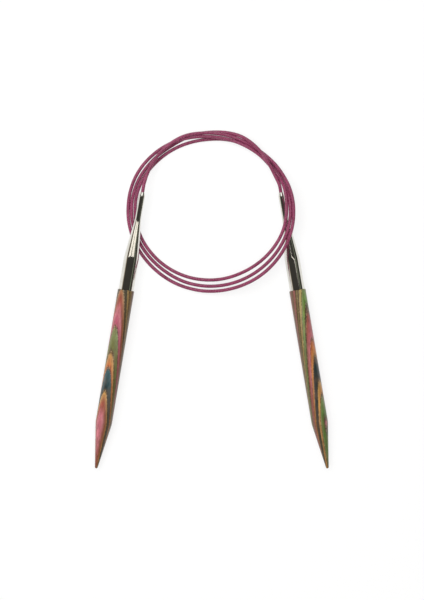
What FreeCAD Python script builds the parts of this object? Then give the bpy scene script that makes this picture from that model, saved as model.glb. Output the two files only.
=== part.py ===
import FreeCAD, Part
import math
import os

# Circular knitting needle: two pointed wooden tips, each glued into a hollow
# metal ferrule, joined by one nylon cable that lies wound up in a ring.
# The needles lie flat with their points toward -Y; the ring is at +Y.
# Millimetres and degrees; Z is up and the table is z = 0.

# Wooden tip
shaft_d = 8.0            # knitting gauge
wood_length = 87.4       # from the point to the ferrule's rim
point_length = 22.25     # from the point to the corner of the taper
point_r = 0.7            # rounding of the point
shoulder_r = 12.0        # rounding between taper and shaft
spigot_length = 12.5     # turned end inside the ferrule
rim_chamfer = 0.15

# Ferrule
sleeve_d = 7.3
sleeve_length = 15.5
taper_length = 18.9
neck_d = 3.0
neck_length = 13.5
ferrule_wall = 0.5
sleeve_blend_r = 20.0    # sleeve into taper
neck_blend_r = 30.0      # taper into neck
lip_r = 0.4              # rounding of the mouth

# Cable and the sleeve crimped on each of its ends
cable_d = 1.65
stop_d = 2.7
stop_length = 5.0
stop_chamfer = 0.3
cable_tail = 0.6         # cable end that stands out behind the crimped sleeve

# Clearances
glue_gap = 0.05          # spigot in ferrule, radial
turn_fit = 0.08          # cable in the ferrule's neck, radial
stop_clearance = 0.25    # crimped sleeve in the ferrule, radial
end_float = 0.1          # crimped sleeve to the shoulder that holds it
crimp_gap = 0.02         # cable in the crimped sleeve, radial
knuckle_gap = 0.12       # between the two cable ends that meet at a bend
over_gap = 0.4           # left ferrule's sleeve over the flat ring, when it swings in
under_gap = 0.35         # right ferrule's sleeve under the humped ring, when it swings in
crossing_slack = 0.4     # above two layers of cable
arc_share = 0.45         # of the shorter run beside a corner of the cable

# Lie of the needles
point_spread = 111.9     # between the two points
splay = 9.6              # each needle's lean from the Y axis
bend_reach = 3.0         # from the ferrule's mouth to the cable's bend

# Ring of wound cable
ring_x, ring_y = -0.45, 57.6
ring_outer_r = 40.2
bore_x, bore_y = -0.3, 58.3
ring_bore_r = 33.6
hump_start_x, hump_full_x = -6.0, 28.0
hump_full_y, hump_end_y = 64.0, 85.0
tunnel_end_y = 73.5      # the right-hand cable joins the ring here
crossing_start_x = -20.6
crossing_start_y = 78.0

# Cable routes from each bend to the ring: the places after the bend itself
left_route = [(-31.6, 74.1, 5.7), (-29.0, 79.9, 4.7), (-25.0, 85.8, 3.55), (-20.0, 90.1, 2.6)]
right_route = [(32.0, 72.0, 3.95), (30.9, 74.3, 3.8)]

shaft_r = shaft_d / 2
cable_r = cable_d / 2
sleeve_r = sleeve_d / 2
neck_r = neck_d / 2
stop_r = stop_d / 2
sleeve_end = wood_length + sleeve_length
taper_end = sleeve_end + taper_length
needle_length = taper_end + neck_length
bore_r = sleeve_r - ferrule_wall
neck_bore_r = cable_r + turn_fit
cavity_r = stop_r + stop_clearance
taper_slope = (sleeve_r - neck_r) / taper_length
stop_seat = sleeve_end + (bore_r - cavity_r) / taper_slope
stop_end = stop_seat - end_float
hump_height = shaft_r + sleeve_r + under_gap
crossing_height = 2 * cable_d + crossing_slack
point_angle = (math.atan2(shaft_r, point_length - point_r)
               - math.asin(point_r / math.hypot(shaft_r, point_length - point_r)))
shaft_start = point_length + shoulder_r * math.tan(point_angle / 2)
# the left ferrule rides up over the ring, the right one lies level under it
left_rise = math.degrees(math.asin((cable_d + over_gap + sleeve_r - shaft_r)
                                   / (sleeve_end - shaft_start)))

X = FreeCAD.Vector(1, 0, 0)
Y = FreeCAD.Vector(0, 1, 0)
Z = FreeCAD.Vector(0, 0, 1)


def at(radius, height):
    """Place in a turned profile: distance from the axis, then along it."""
    return FreeCAD.Vector(radius, 0, height)


def bend(before, corner, after, radius):
    """Start, middle and end of the arc that rounds a corner."""
    back = (before - corner).normalize()
    on = (after - corner).normalize()
    half_turn = (math.pi - back.getAngle(on)) / 2
    reach = radius * math.tan(half_turn)
    to_centre = (back + on).normalize()
    depth = radius / math.cos(half_turn) - radius
    return corner + back * reach, corner + to_centre * depth, corner + on * reach


def rounded_line(points, radii):
    """Edges through the points; each inner one is rounded by its radius, or sharp at 0."""
    edges = []
    start = points[0]
    for before, corner, after, radius in zip(points, points[1:], points[2:], radii):
        first = last = corner
        if radius:
            first, middle, last = bend(before, corner, after, radius)
        edges.append(Part.makeLine(start, first))
        if radius:
            edges.append(Part.Arc(first, middle, last).toShape())
        start = last
    edges.append(Part.makeLine(start, points[-1]))
    return edges


def turned(edges):
    """Solid of revolution about Z from a half outline that starts and ends on the axis."""
    ends = [edges[-1].Vertexes[-1].Point, edges[0].Vertexes[0].Point]
    if ends[0].distanceToPoint(ends[1]) > 1e-6:
        edges = edges + [Part.makeLine(*ends)]
    solid = Part.Face(Part.Wire(edges)).revolve(FreeCAD.Vector(), Z, 360)
    return solid if isinstance(solid, Part.Solid) else Part.makeSolid(solid)


def wooden_tip():
    tangent = at(point_r * math.cos(point_angle), point_r * (1 - math.sin(point_angle)))
    half_turn = (math.pi / 2 - point_angle) / 2 + point_angle
    round_middle = at(point_r * math.cos(half_turn), point_r * (1 - math.sin(half_turn)))
    nose = Part.Arc(at(0, 0), round_middle, tangent).toShape()
    spigot_r = bore_r - glue_gap
    body = rounded_line(
        [tangent, at(shaft_r, point_length), at(shaft_r, wood_length - rim_chamfer),
         at(shaft_r - rim_chamfer, wood_length), at(spigot_r, wood_length),
         at(spigot_r, wood_length + spigot_length), at(0, wood_length + spigot_length)],
        [shoulder_r, 0, 0, 0, 0])
    return turned([nose] + body)


def ferrule():
    outline = rounded_line(
        [at(bore_r, wood_length), at(sleeve_r, wood_length), at(sleeve_r, sleeve_end),
         at(neck_r, taper_end), at(neck_r, needle_length), at(neck_bore_r, needle_length),
         at(neck_bore_r, stop_seat), at(cavity_r, stop_seat), at(bore_r, sleeve_end),
         at(bore_r, wood_length)],
        [0, sleeve_blend_r, neck_blend_r, lip_r, 0, 0, 0, 0])
    return turned(outline)


def cable_stop():
    inner_r = cable_r + crimp_gap
    start = stop_end - stop_length
    outline = rounded_line(
        [at(inner_r, start), at(stop_r - stop_chamfer, start), at(stop_r, start + stop_chamfer),
         at(stop_r, stop_end), at(inner_r, stop_end), at(inner_r, start)],
        [0, 0, 0, 0])
    return turned(outline)


def cable_end():
    """Cable from behind its stop, through the neck, to the knuckle at the bend."""
    start = stop_end - stop_length - cable_tail
    ball = needle_length + bend_reach - cable_r - knuckle_gap / 2
    quarter = math.radians(45)
    outline = rounded_line([at(0, start), at(cable_r, start), at(cable_r, ball)], [0])
    nose = Part.Arc(at(cable_r, ball),
                    at(cable_r * math.cos(quarter), ball + cable_r * math.sin(quarter)),
                    at(0, ball + cable_r)).toShape()
    return turned(outline + [nose])


def needle_axis(side, rise):
    """Point and direction of a needle's axis; side is -1 for left, 1 for right."""
    lean, lift = math.radians(splay), math.radians(rise)
    along = FreeCAD.Vector(-side * math.sin(lean) * math.cos(lift),
                           math.cos(lean) * math.cos(lift), math.sin(lift))
    shoulder_z = shoulder_r - (shoulder_r - shaft_r) * math.cos(lift)
    start = FreeCAD.Vector(side * point_spread / 2, -needle_length * math.cos(lean) / 2,
                           shoulder_z - shaft_start * math.sin(lift))
    return start, along


def cable_lead(start, direction, route, name):
    """Tube from the bend, with a ball end there, along the route and into the ring."""
    first = start + direction * (cable_r + knuckle_gap / 2)
    points = [first] + [FreeCAD.Vector(*place) for place in route]
    radii = []
    for before, corner, after in zip(points, points[1:], points[2:]):
        turn = (corner - before).getAngle(after - corner)
        shorter = min(corner.distanceToPoint(before), corner.distanceToPoint(after))
        radii.append(arc_share * shorter / math.tan(turn / 2))
    path = Part.Wire(rounded_line(points, radii))
    section = Part.Wire(Part.makeCircle(cable_r, first, points[1] - first))
    tube = path.makePipeShell([section], True, False)
    expected = math.pi * cable_r ** 2 * path.Length
    print(name, "radii", [round(r, 1) for r in radii],
          "volume share", round(tube.Volume / expected, 4), "length", round(path.Length, 1))
    return tube.fuse(Part.makeSphere(cable_r, first)).removeSplitter()


def s_curve(low, high, place):
    """Two equal arcs, level at both ends, between two (along, height) points."""
    reach = high[0] - low[0]
    height = high[1] - low[1]
    radius = (reach ** 2 + height ** 2) / (4 * abs(height))
    angle = math.atan2(abs(height), abs(reach))
    step = math.copysign(radius * math.sin(angle), reach)
    rise = math.copysign(radius * (1 - math.cos(angle)), height)
    middle = (low[0] + reach / 2, low[1] + height / 2)
    return [Part.Arc(place(*low), place(low[0] + step, low[1] + rise), place(*middle)).toShape(),
            Part.Arc(place(*middle), place(high[0] - step, high[1] - rise), place(*high)).toShape()]


def band(low, high, flat_end, low_end, place, sweep):
    """Layer one cable thick: level, an S up to the hump, level again; swept sideways."""
    def line(a, b):
        return [Part.makeLine(place(*a), place(*b))]
    up = cable_d
    edges = (line((low_end, 0), low) + s_curve(low, high, place) + line(high, (flat_end, high[1]))
             + line((flat_end, high[1]), (flat_end, high[1] + up))
             + line((flat_end, high[1] + up), (high[0], high[1] + up))
             + s_curve((high[0], high[1] + up), (low[0], low[1] + up), place)
             + line((low[0], up), (low_end, up)) + line((low_end, up), (low_end, 0)))
    return Part.Face(Part.Wire(edges)).extrude(sweep)


def box(low, high):
    size = FreeCAD.Vector(*high) - FreeCAD.Vector(*low)
    return Part.makeBox(size.x, size.y, size.z, FreeCAD.Vector(*low))


def ring_of_cable():
    """Outer shape of the wound cable: flat on the table, humped over the right ferrule."""
    west, east = ring_x - ring_outer_r - 1, ring_x + ring_outer_r + 1
    south, north = ring_y - ring_outer_r - 1, ring_y + ring_outer_r + 1
    top = hump_height + 2 * cable_d
    annulus = Part.makeCylinder(ring_outer_r, top, FreeCAD.Vector(ring_x, ring_y, 0))
    annulus = annulus.cut(Part.makeCylinder(ring_bore_r, top, FreeCAD.Vector(bore_x, bore_y, 0)))
    lower = band((hump_start_x, 0), (hump_full_x, hump_height), east, west,
                 lambda along, z: FreeCAD.Vector(along, south, z), Y * (ring_y - south))
    right = band((hump_end_y, 0), (hump_full_y, hump_height), ring_y, north,
                 lambda along, z: FreeCAD.Vector(0, along, z), X * east)
    left = box((west, ring_y, 0), (0, north, cable_d))
    crossing = box((crossing_start_x, crossing_start_y, 0), (east, north, crossing_height))
    # the last turn of the cable fills the ring under its humped layer, down to where it leaves
    fill = under_hump(east).common(box((0, tunnel_end_y, 0), (east, north, top)))
    layers = lower.fuse([right, left, crossing, fill])
    return layers.common(annulus).removeSplitter()


def under_hump(width):
    """Space between the table and the humped layer on its +Y side."""
    def place(along, z):
        return FreeCAD.Vector(0, along, z)
    edges = s_curve((hump_end_y, 0), (hump_full_y, hump_height), place)
    edges += [Part.makeLine(place(hump_full_y, hump_height), place(hump_full_y, 0)),
              Part.makeLine(place(hump_full_y, 0), place(hump_end_y, 0))]
    return Part.Face(Part.Wire(edges)).extrude(X * width)


def save(shape, node):
    shape.exportStep(os.path.join("parts", node + ".step"))
    print(node, "solids", len(shape.Solids), "valid", shape.isValid(),
          "volume", round(shape.Volume, 1))


os.makedirs("parts", exist_ok=True)
ring = ring_of_cable()
save(ring, "cable_coil")
for name, side, rise, route in (("left", -1, left_rise, left_route), ("right", 1, 0, right_route)):
    start, along = needle_axis(side, rise)
    pose = FreeCAD.Placement(start, FreeCAD.Rotation(Z, along))
    pieces = (("needle_tip", wooden_tip), ("ferrule", ferrule),
              ("cable_stop", cable_stop), ("cable_end", cable_end))
    for part_name, make in pieces:
        piece = make()
        piece.Placement = pose
        save(piece, name + "_" + part_name)
    bend_place = start + along * (needle_length + bend_reach)
    heading = FreeCAD.Vector(*route[0]) - bend_place
    lead = cable_lead(bend_place, heading.normalize(), route, name)
    save(lead.cut(ring), name + "_cable_lead")
    print(name, "bend", [round(v, 3) for v in bend_place], "axis", [round(v, 5) for v in along],
          "start", [round(v, 3) for v in start])
print("shaft start", round(shaft_start, 3), "needle length", needle_length,
      "stop seat", round(stop_seat, 3))
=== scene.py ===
import bpy
import bmesh
import math
from mathutils import Matrix, Vector


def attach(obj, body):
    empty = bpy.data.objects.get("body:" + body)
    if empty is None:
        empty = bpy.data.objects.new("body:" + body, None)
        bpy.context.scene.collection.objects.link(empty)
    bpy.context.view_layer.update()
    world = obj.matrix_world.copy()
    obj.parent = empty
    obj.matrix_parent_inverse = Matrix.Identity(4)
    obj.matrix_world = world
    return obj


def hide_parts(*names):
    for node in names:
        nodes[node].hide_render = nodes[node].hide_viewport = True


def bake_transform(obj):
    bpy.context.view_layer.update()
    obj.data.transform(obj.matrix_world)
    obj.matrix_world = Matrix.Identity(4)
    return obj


# Circular knitting needle on a white table: two tips of dyed laminated wood,
# two chromed ferrules and one plum nylon cable wound into a ring.

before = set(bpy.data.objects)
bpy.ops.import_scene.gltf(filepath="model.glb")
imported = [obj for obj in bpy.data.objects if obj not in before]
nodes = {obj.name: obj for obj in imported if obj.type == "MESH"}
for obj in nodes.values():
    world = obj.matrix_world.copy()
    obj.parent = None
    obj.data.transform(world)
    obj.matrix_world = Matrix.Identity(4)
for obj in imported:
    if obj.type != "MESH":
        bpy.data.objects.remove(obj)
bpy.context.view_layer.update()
mm = 0.001

# Helpers


def millimetres(*place):
    return Vector(place) * mm


# 0-255 colour to the shader's own values
def linear(red, green, blue):
    def channel(value):
        value = value / 255
        return value / 12.92 if value <= 0.04045 else ((value + 0.055) / 1.055) ** 2.4
    return (channel(red), channel(green), channel(blue), 1)


def newMaterial(name):
    material = bpy.data.materials.new(name)
    material.use_nodes = True
    shader = material.node_tree.nodes["Principled BSDF"]
    return material, material.node_tree, shader


def addNode(tree, kind, **inputs):
    node = tree.nodes.new(kind)
    for name, value in inputs.items():
        node.inputs[name.replace("_", " ")].default_value = value
    return node


def mathNode(tree, operation, *values):
    node = tree.nodes.new("ShaderNodeMath")
    node.operation = operation
    for slot, value in zip(node.inputs, values):
        if hasattr(value, "is_output"):
            tree.links.new(value, slot)
        else:
            slot.default_value = value
    return node.outputs[0]


# Colours along a value, as (place, colour) stops
def rampOn(tree, value, stops):
    node = tree.nodes.new("ShaderNodeValToRGB")
    ramp = node.color_ramp
    while len(ramp.elements) > 1:
        ramp.elements.remove(ramp.elements[-1])
    ramp.elements[0].position, ramp.elements[0].color = stops[0]
    for position, colour in stops[1:]:
        ramp.elements.new(position).color = colour
    tree.links.new(value, node.inputs[0])
    return node.outputs["Color"]


def noiseOn(tree, coords, **inputs):
    node = addNode(tree, "ShaderNodeTexNoise", **inputs)
    tree.links.new(coords, node.inputs["Vector"])
    return node.outputs["Fac"]


# A value between two limits, spread from one number to another
def spreadOn(tree, value, limits, results):
    node = addNode(tree, "ShaderNodeMapRange", From_Min=limits[0], From_Max=limits[1],
                   To_Min=results[0], To_Max=results[1])
    tree.links.new(value, node.inputs["Value"])
    return node.outputs[0]


def scaledOn(tree, coords, scale):
    node = addNode(tree, "ShaderNodeMapping", Scale=scale)
    tree.links.new(coords, node.inputs["Vector"])
    return node.outputs[0]


def bumpOn(tree, height, shader, strength, distance):
    node = addNode(tree, "ShaderNodeBump", Strength=strength, Distance=distance)
    tree.links.new(height, node.inputs["Height"])
    tree.links.new(node.outputs[0], shader.inputs["Normal"])


def mixColour(tree, blend, factor, first, second):
    node = tree.nodes.new("ShaderNodeMix")
    node.data_type = "RGBA"
    node.blend_type = blend
    for slot, value in zip((node.inputs[0], node.inputs[6], node.inputs[7]), (factor, first, second)):
        if hasattr(value, "is_output"):
            tree.links.new(value, slot)
        else:
            slot.default_value = value
    return node.outputs[2]


def sceneObject(name, data):
    piece = bpy.data.objects.new(name, data)
    bpy.context.scene.collection.objects.link(piece)
    return piece


# Lie of the two needles

needle = {
    "spread": 111.9,      # between the two points
    "splay": 9.6,         # lean from straight, degrees
    "length": 135.3,      # point to the ferrule's mouth
    "wood": 87.4,         # point to the wood's rim
    "leftLift": 1.2216,   # rise of the left one towards its ferrule, degrees
    "leftTipHeight": 3.508,
    "rightTipHeight": 4.0,
}


# Point of the needle and its direction; side is -1 for left, 1 for right
def needleLine(side):
    lean = math.radians(needle["splay"])
    lift = math.radians(needle["leftLift"]) if side < 0 else 0
    flat = math.cos(lift)
    along = Vector((-side * math.sin(lean) * flat, math.cos(lean) * flat, math.sin(lift)))
    height = needle["leftTipHeight"] if side < 0 else needle["rightTipHeight"]
    return Vector((side * needle["spread"] / 2, -needle["length"] * math.cos(lean) / 2, height)), along


def alongNeedle(side, distance):
    start, along = needleLine(side)
    return start + along * distance


# Across, up and along the needle; up is away from the table
def needleFrame(side):
    start, along = needleLine(side)
    across = along.cross(Vector((0, 0, 1))).normalized()
    up = across.cross(along).normalized()
    return start, across, up, along


# Camera, straight above

camera = {
    "middle": (0.1, 14.7, 4.0), "distance": 1100,
    "frameHeight": 290.0,     # what it sees from top to bottom at the needles
    "sensor": 36, "clip": (0.05, 60),
}
cameraData = bpy.data.cameras.new("camera")
cameraObject = sceneObject("camera", cameraData)
cameraObject.location = millimetres(*camera["middle"]) + millimetres(0, 0, camera["distance"])
cameraData.sensor_width = camera["sensor"]
cameraData.lens = camera["sensor"] * camera["distance"] / camera["frameHeight"]
cameraData.clip_start, cameraData.clip_end = camera["clip"]
bpy.context.scene.camera = cameraObject
print("camera set")

# Cable

cable = {
    "thickness": 1.65,
    "hidden": (110.826, 120, 130),  # stations along the needle, from the end behind the crimped sleeve
    "straight": 4.0,                # goes on straight past the mouth
    "middle": (-0.36, 57.5),        # middle of the ring
    "lineSteps": 10,                # points of the smooth line for each route point
    "roundness": 6,                 # bevel resolution of the tube
}

# The cable from the left ferrule's mouth round three turns to the right one:
# clockwise angle from the top, distance from the middle, height of its middle.
leftRun = [
    (292, 34.9, 5.6), (299, 35.6, 5.2), (306, 36.3, 4.9), (314, 37.1, 4.5), (322, 37.7, 4.2),
    (330, 38.3, 3.95), (338, 38.7, 3.95), (345, 38.6, 3.7),
]
turns = [
    # outer turn
    (352, 38.25, 3.05), (360, 38.0, 2.6), (370, 37.75, 2.4), (380, 37.5, 2.35), (390, 37.45, 2.35),
    (400, 37.7, 2.35), (410, 38.3, 2.4), (417, 38.7, 2.9), (424, 39.0, 4.2), (431, 39.4, 6.1),
    (438, 39.65, 7.8), (446, 39.8, 8.7), (456, 39.85, 8.83), (466, 39.75, 8.83), (478, 39.6, 8.83),
    (490, 39.3, 8.8), (502, 39.1, 8.4), (514, 38.8, 7.0), (526, 38.6, 4.6), (538, 38.55, 2.4),
    (550, 38.6, 1.2), (565, 38.75, 0.85), (580, 38.9, 0.83), (595, 39.3, 0.83), (610, 39.9, 0.83),
    (625, 40.25, 0.83), (640, 40.35, 0.83), (652, 40.35, 0.83), (662, 40.1, 0.83), (671, 39.6, 0.83),
    (680, 39.1, 1.0), (688, 38.5, 2.0), (695, 38.0, 2.42), (702, 37.35, 2.5), (709, 36.8, 2.6),
    # inner turn
    (716, 36.4, 2.5), (724, 36.15, 2.5), (732, 35.95, 2.5), (742, 35.85, 2.48), (752, 35.9, 2.45),
    (762, 36.1, 2.4), (772, 36.1, 2.35), (779, 36.45, 2.4), (784, 37.05, 3.3), (789, 37.15, 5.2),
    (794, 37.05, 6.9), (801, 36.65, 8.3), (810, 36.4, 8.83), (820, 36.1, 8.83), (830, 35.6, 8.83),
    (841, 34.8, 8.83), (852, 34.1, 8.7), (864, 33.45, 7.9), (877, 33.05, 5.9), (890, 33.05, 3.5),
    (903, 33.1, 1.6), (918, 33.5, 0.9), (934, 34.1, 0.83), (950, 34.9, 0.83), (966, 35.9, 0.83),
    (981, 36.65, 0.83), (994, 36.9, 0.83), (1006, 36.9, 0.83), (1018, 36.5, 0.83), (1030, 35.9, 0.83),
    (1042, 35.45, 0.83), (1054, 35.15, 0.83), (1066, 34.95, 0.83),
    # middle turn
    (1078, 35.0, 0.83), (1090, 35.6, 0.83), (1102, 36.15, 0.83), (1114, 36.7, 0.83), (1124, 37.15, 0.83),
    (1134, 37.45, 0.83), (1140, 37.6, 0.95), (1146, 37.8, 2.1), (1151, 37.95, 4.0), (1156, 38.1, 6.1),
    (1161, 38.15, 7.6), (1168, 38.2, 8.6), (1176, 38.2, 8.83), (1185, 37.95, 8.83), (1196, 37.5, 8.83),
    (1208, 37.0, 8.8), (1220, 36.55, 8.4), (1232, 36.3, 7.0), (1244, 36.15, 4.7), (1256, 36.1, 2.5),
    (1268, 36.15, 1.2),
    (1282, 36.35, 0.85), (1297, 36.4, 0.83), (1312, 37.0, 0.83), (1327, 37.75, 0.83), (1342, 38.45, 0.83),
    (1356, 38.7, 0.83), (1368, 38.5, 0.83), (1378, 38.2, 0.83), (1388, 37.7, 0.83), (1398, 37.35, 0.83),
    (1408, 37.15, 0.83), (1417, 37.45, 0.83), (1426, 38.2, 0.83), (1434, 38.35, 0.83), (1442, 38.6, 0.9),
]
rightRun = [
    (1449, 38.95, 1.2), (1456, 39.2, 2.0), (1462, 39.2, 3.1), (1468, 38.75, 3.8), (1474, 38.15, 4.1),
    (1481, 37.4, 4.15), (1488, 36.5, 4.1), (1495, 35.8, 4.05), (1502, 35.4, 4.0),
]


# Route points in metres. The smooth line runs a little inside its points, so they stand out by as much.
def ringPlaces(table):
    places = []
    for index, (angle, distance, height) in enumerate(table):
        before = table[max(index - 1, 0)][0]
        after = table[min(index + 1, len(table) - 1)][0]
        step = math.radians(after - before) / 2
        reach = distance * (1 + step ** 2 / 8)
        turn = math.radians(angle)
        places.append(millimetres(cable["middle"][0] + reach * math.sin(turn),
                                  cable["middle"][1] + reach * math.cos(turn), height))
    return places


# Straight through the ferrule's neck, from behind the crimped sleeve to past the mouth
def hiddenRun(side):
    stations = (*cable["hidden"], needle["length"], needle["length"] + cable["straight"])
    return [alongNeedle(side, station) * mm for station in stations]


# Points along the NURBS spline that has these places as its control points
def smoothLine(places):
    data = bpy.data.curves.new("cableRoute", "CURVE")
    data.dimensions = "3D"
    data.resolution_u = cable["lineSteps"]
    spline = data.splines.new("NURBS")
    spline.points.add(len(places) - 1)
    for point, place in zip(spline.points, places):
        point.co = (*place, 1)
    spline.order_u = 3
    spline.use_endpoint_u = True
    route = sceneObject("cableRoute", data)
    bpy.context.view_layer.update()
    mesh = bpy.data.meshes.new_from_object(route)
    line = [vertex.co.copy() for vertex in mesh.vertices]
    bpy.data.objects.remove(route)
    bpy.data.meshes.remove(mesh)
    return line


# Round tube with closed ends on the line, with a UV map that runs along it
def tubeAlong(name, line):
    data = bpy.data.curves.new(name, "CURVE")
    data.dimensions = "3D"
    data.bevel_depth = cable["thickness"] / 2 * mm
    data.bevel_resolution = cable["roundness"]
    data.use_fill_caps = True
    spline = data.splines.new("POLY")
    spline.points.add(len(line) - 1)
    for point, place in zip(spline.points, line):
        point.co = (*place, 1)
    source = sceneObject(name, data)
    bpy.context.view_layer.update()
    mesh = bpy.data.meshes.new_from_object(source)
    bpy.data.objects.remove(source)
    mesh.name = name
    for polygon in mesh.polygons:
        polygon.use_smooth = True
    return sceneObject(name, mesh)


def lineLength(line):
    return sum((b - a).length for a, b in zip(line, line[1:]))


def nearest(line, place):
    return min(range(len(line)), key=lambda index: (line[index] - place).length)


leftHidden = hiddenRun(-1)
rightHidden = list(reversed(hiddenRun(1)))
ringRoute = ringPlaces(leftRun + turns + rightRun)
wholeLine = smoothLine(leftHidden + ringRoute + rightHidden)
leftJoin = nearest(wholeLine, ringRoute[len(leftRun) - 2])
rightJoin = nearest(wholeLine, ringRoute[len(leftRun) + len(turns)])
leftLine = list(reversed(wholeLine[:leftJoin + 1]))
turnsLine = wholeLine[leftJoin:rightJoin + 1]
rightLine = wholeLine[rightJoin:]
print("cable line", len(wholeLine), "points,", round(lineLength(wholeLine) * 1000, 1), "mm")

leftLead = tubeAlong("leftLead", leftLine)
woundTurns = tubeAlong("woundTurns", turnsLine)
rightLead = tubeAlong("rightLead", rightLine)
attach(woundTurns, "cable")
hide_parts("cable_coil")
for piece, side, names in ((leftLead, -1, ("left_cable_lead", "left_cable_end")),
                           (rightLead, 1, ("right_cable_lead", "right_cable_end"))):
    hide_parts(*names)
    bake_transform(piece)
print("cable made")

# Wooden tips and ferrules, turned on a spindle

tip = {
    "radius": 4.0, "pointLength": 22.25, "pointRounding": 0.7, "shoulderRounding": 12.0,
    "rimChamfer": 0.15, "spigotRadius": 3.1, "spigotLength": 12.5,
}
ferrule = {
    "sleeveRadius": 3.65, "sleeveLength": 15.5, "taperLength": 18.9, "neckRadius": 1.5,
    "boreRadius": 3.15, "neckBore": 0.905, "cavityRadius": 1.6, "seat": 116.526, "rimChamfer": 0.12,
    "sleeveRounding": 20.0, "neckRounding": 30.0,
    "mouthTaper": 1.8, "mouthRadius": 1.03, "mouthRounding": 3.0, "lipRounding": 0.1,
}
turning = {
    "aroundSteps": 64, "arcSteps": 12, "noseSteps": 8,
    "sharpEdge": 32,      # edges steeper than this stay sharp, degrees
    "joined": 0.0005,     # points closer than this become one
}


# Outline through (radius, distance, rounding) corners, each rounded by an arc
def roundedOutline(corners):
    outline = []
    steps = turning["arcSteps"]
    for index, (radius, distance, rounding) in enumerate(corners):
        corner = Vector((radius, distance))
        if not rounding:
            outline.append(corner)
            continue
        before = (Vector(corners[index - 1][:2]) - corner).normalized()
        after = (Vector(corners[index + 1][:2]) - corner).normalized()
        half = (math.pi - before.angle(after)) / 2
        middle = corner + (before + after).normalized() * (rounding / math.cos(half))
        start = corner + before * rounding * math.tan(half) - middle
        turn = 2 * half * (1 if start.cross(after) > 0 else -1)
        for step in range(steps + 1):
            outline.append(middle + Matrix.Rotation(turn * step / steps, 2) @ start)
    return outline


def turnedPiece(name, outline, side, closed):
    shape = bmesh.new()
    ring = [shape.verts.new((point.x, 0, point.y)) for point in outline]
    edges = [shape.edges.new(pair) for pair in zip(ring, ring[1:])]
    if closed:
        edges.append(shape.edges.new((ring[-1], ring[0])))
    bmesh.ops.spin(shape, geom=ring + edges, cent=(0, 0, 0), axis=(0, 0, 1), angle=2 * math.pi,
                   steps=turning["aroundSteps"], use_merge=True, use_duplicate=False)
    bmesh.ops.remove_doubles(shape, verts=shape.verts, dist=turning["joined"])
    bmesh.ops.recalc_face_normals(shape, faces=shape.faces)
    start, across, up, along = needleFrame(side)
    lie = Matrix.Translation(start) @ Matrix((across, -up, along)).transposed().to_4x4()
    bmesh.ops.transform(shape, matrix=Matrix.Scale(mm, 4) @ lie, verts=shape.verts)
    mesh = bpy.data.meshes.new(name)
    shape.to_mesh(mesh)
    shape.free()
    for polygon in mesh.polygons:
        polygon.use_smooth = True
    mesh.set_sharp_from_angle(angle=math.radians(turning["sharpEdge"]))
    return sceneObject(name, mesh)


def tipOutline():
    radius = tip["radius"]
    rounding = tip["pointRounding"]
    chamfer = tip["rimChamfer"]
    rim = needle["wood"]
    spigotEnd = rim + tip["spigotLength"]
    reach = tip["pointLength"] - rounding
    slope = math.atan2(radius, reach) - math.asin(rounding / math.hypot(radius, reach))
    nose = []
    for step in range(turning["noseSteps"] + 1):
        angle = (math.pi / 2 - slope) * step / turning["noseSteps"]
        nose.append((rounding * math.sin(angle), rounding * (1 - math.cos(angle)), 0))
    return roundedOutline(nose + [
        (radius, tip["pointLength"], tip["shoulderRounding"]),
        (radius, rim - chamfer, 0), (radius - chamfer, rim, 0),
        (tip["spigotRadius"], rim, 0), (tip["spigotRadius"], spigotEnd, 0), (0, spigotEnd, 0)])


def ferruleOutline():
    rim = needle["wood"]
    mouth = needle["length"]
    chamfer = ferrule["rimChamfer"]
    sleeveEnd = rim + ferrule["sleeveLength"]
    taperEnd = sleeveEnd + ferrule["taperLength"]
    return roundedOutline([
        (ferrule["boreRadius"], rim, 0),
        (ferrule["sleeveRadius"] - chamfer, rim, 0), (ferrule["sleeveRadius"], rim + chamfer, 0),
        (ferrule["sleeveRadius"], sleeveEnd, ferrule["sleeveRounding"]),
        (ferrule["neckRadius"], taperEnd, ferrule["neckRounding"]),
        (ferrule["neckRadius"], mouth - ferrule["mouthTaper"], ferrule["mouthRounding"]),
        (ferrule["mouthRadius"], mouth, ferrule["lipRounding"]),
        (ferrule["neckBore"], mouth, 0), (ferrule["neckBore"], ferrule["seat"], 0),
        (ferrule["cavityRadius"], ferrule["seat"], 0), (ferrule["boreRadius"], sleeveEnd, 0)])


tips = {}
ferrules = {}
for side, word in ((-1, "left"), (1, "right")):
    tips[side] = turnedPiece(word + "WoodenTip", tipOutline(), side, closed=False)
    ferrules[side] = turnedPiece(word + "ChromedFerrule", ferruleOutline(), side, closed=True)
    for piece, node, slotName in ((tips[side], "_needle_tip", "laminated_wood"),
                                  (ferrules[side], "_ferrule", "ferrule")):
        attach(piece, word + "_needle")
        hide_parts(word + node)
print("tips and ferrules turned")

# Dyed laminated wood

dyes = {
    "magenta": (164, 62, 96), "pink": (188, 102, 116), "rose": (188, 106, 118), "redBrown": (150, 74, 58),
    "redOrange": (186, 98, 52), "orange": (186, 128, 68), "amber": (190, 146, 80), "tan": (156, 118, 78),
    "darkOlive": (70, 64, 40), "deepTeal": (28, 46, 50), "teal": (52, 88, 94), "darkTeal": (36, 46, 42),
    "olive": (98, 108, 58), "green": (120, 134, 86), "brightGreen": (104, 140, 58),
    "leafGreen": (84, 118, 54), "yellow": (174, 154, 94), "yellowOlive": (136, 124, 70),
    "brown": (116, 84, 60), "pinkBrown": (148, 98, 86), "darkBrown": (84, 60, 46),
}

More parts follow.
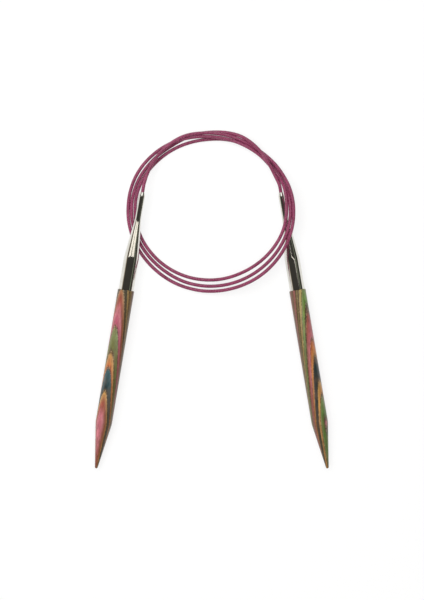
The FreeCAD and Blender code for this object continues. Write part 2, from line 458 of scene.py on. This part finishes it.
# Plies from one face of the board to the other: millimetres thick, and the dye on its two faces.
# Where two neighbours share a dye, it runs on without a glue line.
lamination = {
    -1: {"tilt": 6.0, "turn": 300, "first": -2.1, "plies": [
        (0.75, "magenta", "rose"), (0.65, "rose", "redBrown"), (0.7, "redBrown", "amber"),
        (1.2, "deepTeal", "teal"), (0.8, "redOrange", "amber"), (0.35, "darkOlive", "olive"),
        (0.9, "olive", "green"), (0.75, "magenta", "rose"), (0.6, "rose", "redBrown"),
        (0.7, "redBrown", "tan"), (0.75, "darkOlive", "darkTeal"), (0.9, "yellow", "tan"),
        (0.35, "darkOlive", "darkOlive"), (1.2, "yellowOlive", "tan"), (1.2, "brown", "brown")]},
    1: {"tilt": 5.5, "turn": 220, "first": -2.5, "plies": [
        (0.75, "pink", "rose"), (0.5, "darkOlive", "leafGreen"), (0.7, "leafGreen", "green"),
        (0.7, "orange", "amber"), (1.15, "darkTeal", "deepTeal"), (0.8, "orange", "redOrange"),
        (1.2, "pink", "redBrown"), (0.35, "darkBrown", "darkOlive"), (1.0, "brightGreen", "green"),
        (0.8, "yellow", "yellow"), (0.4, "darkOlive", "darkOlive"), (0.6, "yellowOlive", "yellowOlive"),
        (0.45, "darkBrown", "darkOlive"), (1.1, "pinkBrown", "rose"), (1.5, "brown", "brown")]},
}
# Lengths in millimetres; noise scales are for millimetres too
wood = {
    "wander": 0.5,                    # how far a ply strays from its plane
    "dyeEdge": 0.09,                  # soft edge of a dye at each face of its ply
    "glueWidth": 0.16, "glueDark": (36, 30, 22), "gluePale": (186, 168, 132),
    "grainStretch": (1, 1, 0.06), "fleckStretch": (1, 1, 0.28),
    "figureShare": 0.6, "fineShare": 0.4, "streaks": (0.66, 1.26),
    "soaked": 0.22, "soakedDye": (158, 112, 80),
    # painted shade: range, depth and colours of the darkening on the side that faces the other needle; the
    # last pair makes it darker towards the point
    "inwardRange": (-0.5, 3.2), "deepestPaintedShade": 0.7, "paintedShadeTint": (176, 162, 144),
    "paintedShadeBrownShare": 0.5, "paintedShadeBrown": (106, 84, 58),
    "nearPointReach": 42.0, "nearPointBy": 2.4,
    "roughness": (0.46, 0.32), "coat": 0.25, "coatRoughness": 0.2,
    "bump": 0.12, "bumpDepth": 0.00008,   # depth in metres
}


# The plies' dyes, through the board from 0 to 1
def plyColours(tree, place, plies, total):
    edge = wood["dyeEdge"]
    stops = []
    at = 0
    for thickness, lower, upper in plies:
        stops.append(((at + edge) / total, linear(*dyes[lower])))
        stops.append(((at + thickness - edge) / total, linear(*dyes[upper])))
        at += thickness
    return rampOn(tree, place, stops)


# White where a ply meets the next one, in two halves because a ramp has few stops
def glueLines(tree, place, plies, total):
    edges = []
    at = 0
    for ply, above in zip(plies, plies[1:]):
        at += ply[0]
        if ply[2] != above[1]:
            edges.append(at / total)
    width = wood["glueWidth"] / total
    half = len(edges) // 2
    lines = []
    for group in (edges[:half], edges[half:]):
        stops = []
        for edge in group:
            stops += [(edge - width, (0, 0, 0, 1)), (edge, (1, 1, 1, 1)), (edge + width, (0, 0, 0, 1))]
        lines.append(rampOn(tree, place, stops))
    return mathNode(tree, "ADD", *lines)


def laminatedWood(side, word):
    board = lamination[side]
    plies = board["plies"]
    material, tree, shader = newMaterial(word + "DyedLaminatedWood")
    links = tree.links
    start, across, up, along = needleFrame(side)
    tilt = math.radians(board["tilt"])
    turn = math.radians(board["turn"])
    flat = across * math.cos(turn) + up * math.sin(turn)
    face = (along * math.sin(tilt) + flat * math.cos(tilt)).normalized()
    grain = (along - face * along.dot(face)).normalized()
    # pattern space in millimetres from the needle's point: X through the plies, Z with the grain
    turnIn = Matrix((face, grain.cross(face), grain))
    mapping = addNode(tree, "ShaderNodeMapping", Rotation=turnIn.to_euler(), Scale=(1 / mm, 1 / mm, 1 / mm),
                      Location=-(turnIn @ start))
    links.new(tree.nodes.new("ShaderNodeTexCoord").outputs["Object"], mapping.inputs["Vector"])
    boardPlace = mapping.outputs[0]
    parts = tree.nodes.new("ShaderNodeSeparateXYZ")
    links.new(boardPlace, parts.inputs[0])
    alongGrain = scaledOn(tree, boardPlace, wood["grainStretch"])
    # plies wander a little along the grain
    wander = noiseOn(tree, alongGrain, Scale=0.35, Detail=3.0)
    shift = mathNode(tree, "MULTIPLY_ADD", wander, wood["wander"], -wood["wander"] / 2)
    depth = mathNode(tree, "ADD", parts.outputs["X"], shift)
    total = sum(ply[0] for ply in plies)
    place = mathNode(tree, "DIVIDE", mathNode(tree, "SUBTRACT", depth, board["first"]), total)
    # past the last ply the board starts again
    place = mathNode(tree, "MODULO", place, 1.0)
    colour = plyColours(tree, place, plies, total)
    # glue shows as a broken line of dark and pale specks
    specks = noiseOn(tree, boardPlace, Scale=1.6, Detail=2.0)
    broken = spreadOn(tree, specks, (0.45, 0.55), (1.0, 0.6))
    glued = mathNode(tree, "MULTIPLY", glueLines(tree, place, plies, total), broken)
    glue = rampOn(tree, specks, [(0.52, linear(*wood["glueDark"])), (0.6, linear(*wood["gluePale"]))])
    colour = mixColour(tree, "MIX", glued, colour, glue)
    # flecks and fine grain
    fine = noiseOn(tree, alongGrain, Scale=2.6, Detail=5.0, Roughness=0.65)
    flecks = scaledOn(tree, boardPlace, wood["fleckStretch"])
    figure = noiseOn(tree, flecks, Scale=1.3, Detail=4.0, Roughness=0.65)
    both = mathNode(tree, "ADD", mathNode(tree, "MULTIPLY", figure, wood["figureShare"]),
                    mathNode(tree, "MULTIPLY", fine, wood["fineShare"]))
    streaks = spreadOn(tree, both, (0.38, 0.62), wood["streaks"])
    grey = tree.nodes.new("ShaderNodeCombineColor")
    for slot in grey.inputs:
        links.new(streaks, slot)
    colour = mixColour(tree, "MULTIPLY", 1.0, colour, grey.outputs[0])
    # dye that soaked in unevenly
    blotch = noiseOn(tree, boardPlace, Scale=0.16, Detail=2.0)
    soak = spreadOn(tree, blotch, (0.35, 0.7), (0.0, wood["soaked"]))
    colour = mixColour(tree, "MIX", soak, colour, linear(*wood["soakedDye"]))
    # painted shade: the colour is darkened and browned on the side that faces the other needle, and the
    # darkening also grows towards the point
    inward = tree.nodes.new("ShaderNodeVectorMath")
    inward.operation = "DOT_PRODUCT"
    links.new(boardPlace, inward.inputs[0])
    inward.inputs[1].default_value = turnIn @ (across * -side)
    nearPoint = spreadOn(tree, parts.outputs["Z"], (0.0, wood["nearPointReach"]), (wood["nearPointBy"], 0.0))
    paintedShadeAndPointMask = spreadOn(tree, mathNode(tree, "ADD", inward.outputs["Value"], nearPoint), wood["inwardRange"],
                    (0.0, wood["deepestPaintedShade"]))
    # painted shade multiplied into the colour, then mixed towards brown
    colour = mixColour(tree, "MULTIPLY", paintedShadeAndPointMask, colour, linear(*wood["paintedShadeTint"]))
    paintedShadeBrowning = mathNode(tree, "MULTIPLY", paintedShadeAndPointMask, wood["paintedShadeBrownShare"])
    colour = mixColour(tree, "MIX", paintedShadeBrowning, colour, linear(*wood["paintedShadeBrown"]))
    links.new(colour, shader.inputs["Base Color"])
    links.new(spreadOn(tree, fine, (0.3, 0.75), wood["roughness"]), shader.inputs["Roughness"])
    shader.inputs["Coat Weight"].default_value = wood["coat"]
    shader.inputs["Coat Roughness"].default_value = wood["coatRoughness"]
    bumpOn(tree, fine, shader, wood["bump"], wood["bumpDepth"])
    return material


for side, word in ((-1, "left"), (1, "right")):
    tips[side].data.materials.append(laminatedWood(side, word))
print("wood dyed")

# Chrome, crimped brass and nylon: a faint play of two tints and of roughness

chrome = {
    "name": "polishedChrome", "tints": ((214, 212, 204), (228, 226, 219)), "tintNoise": (240.0, 3.0),
    "roughNoise": (700.0, 3.0), "roughRange": (0.35, 0.75), "roughness": (0.05, 0.09), "Metallic": 1,
}
brass = {
    "name": "crimpedBrass", "tints": ((172, 142, 82), (196, 168, 104)), "tintNoise": (900.0, 2.0),
    "roughRange": (0, 1), "roughness": (0.25, 0.45), "dents": (0.3, 0.0001), "Metallic": 1,
}
nylon = {
    "name": "plumNylon", "tints": ((134, 54, 86), (154, 70, 104)), "tintNoise": (160.0, 3.0),
    "roughNoise": (1400.0, 4.0), "roughRange": (0, 1), "roughness": (0.2, 0.34),
    "IOR": 1.53, "Transmission Weight": 0.15,
}


def tintedMaterial(finish):
    material, tree, shader = newMaterial(finish["name"])
    coords = tree.nodes.new("ShaderNodeTexCoord").outputs["Object"]
    scale, detail = finish["tintNoise"]
    cloud = noiseOn(tree, coords, Scale=scale, Detail=detail)
    lower, upper = finish["tints"]
    tint = rampOn(tree, cloud, [(0.3, linear(*lower)), (0.7, linear(*upper))])
    tree.links.new(tint, shader.inputs["Base Color"])
    scuffs = cloud
    if "roughNoise" in finish:
        scale, detail = finish["roughNoise"]
        scuffs = noiseOn(tree, coords, Scale=scale, Detail=detail)
    rough = spreadOn(tree, scuffs, finish["roughRange"], finish["roughness"])
    tree.links.new(rough, shader.inputs["Roughness"])
    if "dents" in finish:
        bumpOn(tree, cloud, shader, *finish["dents"])
    for name in ("Metallic", "IOR", "Transmission Weight"):
        if name in finish:
            shader.inputs[name].default_value = finish[name]
    return material


def coverWith(pieces, finish):
    material = tintedMaterial(finish)
    for piece in pieces:
        piece.data.materials.clear()
        piece.data.materials.append(material)


coverWith(ferrules.values(), chrome)
coverWith([nodes["left_cable_stop"], nodes["right_cable_stop"]], brass)
coverWith([leftLead, woundTurns, rightLead], nylon)
print("materials set")

# White table

table = {
    "halfWidth": 20.0, "white": (0.95, 0.95, 0.95, 1), "roughness": 0.9, "specular": 0.1,
    "ownWhite": 0.78,     # share of plain white that the camera and reflections see
}


def whiteTable():
    material, tree, shader = newMaterial("whiteTable")
    shader.inputs["Base Color"].default_value = table["white"]
    shader.inputs["Roughness"].default_value = table["roughness"]
    shader.inputs["Specular IOR Level"].default_value = table["specular"]
    glow = addNode(tree, "ShaderNodeEmission", Color=(1, 1, 1, 1), Strength=1.0)
    path = tree.nodes.new("ShaderNodeLightPath").outputs
    mirrored = mathNode(tree, "MAXIMUM", path["Is Glossy Ray"], path["Is Transmission Ray"])
    seen = mathNode(tree, "MAXIMUM", path["Is Camera Ray"], mirrored)
    both = tree.nodes.new("ShaderNodeMixShader")
    tree.links.new(mathNode(tree, "MULTIPLY", seen, table["ownWhite"]), both.inputs[0])
    tree.links.new(shader.outputs[0], both.inputs[1])
    tree.links.new(glow.outputs[0], both.inputs[2])
    tree.links.new(both.outputs[0], tree.nodes["Material Output"].inputs["Surface"])
    return material


shape = bmesh.new()
bmesh.ops.create_grid(shape, x_segments=1, y_segments=1, size=table["halfWidth"])
floorMesh = bpy.data.meshes.new("table")
shape.to_mesh(floorMesh)
shape.free()
floorObject = sceneObject("table", floorMesh)
floorMesh.materials.append(whiteTable())
print("table laid")

# Light: a soft fill from above, and strips and cards that the chrome mirrors

studio = {
    "fill": {"size": (1.8, 1.8), "place": (-0.3, 0.1, 1.55), "aim": (0, 0.015, 0), "level": 3.1,
             "mirrored": False},
    "flame": {"size": (0.78, 0.06), "place": (0.31, 0.203, 1.0), "aim": (0.31, 0.203, 0), "level": 1.3,
              "turn": -6, "mirrored": True, "colour": (1, 0.96, 0.88)},
    "leftFlame": {"size": (0.88, 0.13), "place": (-0.62, 0.385, 1.0), "aim": (-0.62, 0.385, 0), "level": 1.3,
                  "turn": -7, "mirrored": True, "colour": (1, 0.96, 0.88)},
    "backCard": {"size": (1.0, 0.4), "place": (0, 0.58, 0.8), "aim": (0, 0.05, 0), "level": 1.4,
                 "mirrored": True},
    "rightStrip": {"size": (1.4, 0.16), "place": (0.76, 0.05, 0.6), "aim": (0, 0.05, 0), "level": 0.24,
                   "mirrored": True, "colour": (0.75, 0.9, 0.62)},
}


def addLight(name, facts):
    data = bpy.data.lights.new(name, "AREA")
    data.shape = "RECTANGLE"
    data.size, data.size_y = facts["size"]
    data.energy = facts["level"] * math.pi * facts["size"][0] * facts["size"][1]
    data.color = facts.get("colour", (1, 1, 1))
    light = sceneObject(name, data)
    light.location = facts["place"]
    look = Vector(facts["aim"]) - Vector(facts["place"])
    turn = Matrix.Rotation(math.radians(facts.get("turn", 0)), 3, "Z")
    light.rotation_euler = (look.to_track_quat("-Z", "Y").to_matrix() @ turn).to_euler()
    light.visible_camera = False
    light.visible_glossy = facts["mirrored"]


for name, facts in studio.items():
    addLight(name, facts)

# White near the horizon and dark overhead; the change is gradual on the left and quick on the right
sky = {
    "white": (1, 1, 1, 1), "warm": (176, 162, 142), "dark": (0.05, 0.0475, 0.0425, 1),
    "warmAt": 0.035, "darkAt": 0.085,
    "edge": (-0.11, 0.13),    # height where it starts: change to the right, and on the left
    "quickness": (0.95, 1.05),
}


def addSky():
    world = bpy.data.worlds.new("studio")
    bpy.context.scene.world = world
    world.use_nodes = True
    tree = world.node_tree
    parts = tree.nodes.new("ShaderNodeSeparateXYZ")
    tree.links.new(tree.nodes.new("ShaderNodeTexCoord").outputs["Generated"], parts.inputs[0])
    right = parts.outputs["X"]
    edge = mathNode(tree, "MULTIPLY_ADD", mathNode(tree, "MAXIMUM", right, 0), *sky["edge"])
    quickness = mathNode(tree, "MULTIPLY_ADD", right, *sky["quickness"])
    height = mathNode(tree, "MULTIPLY", mathNode(tree, "SUBTRACT", parts.outputs["Z"], edge), quickness)
    colour = rampOn(tree, height, [(0.0, sky["white"]), (sky["warmAt"], linear(*sky["warm"])),
                                   (sky["darkAt"], sky["dark"])])
    tree.links.new(colour, tree.nodes["Background"].inputs["Color"])
    tree.nodes["Background"].inputs["Strength"].default_value = 1.0


addSky()
bpy.context.scene.view_settings.view_transform = "Standard"
print("studio lit")
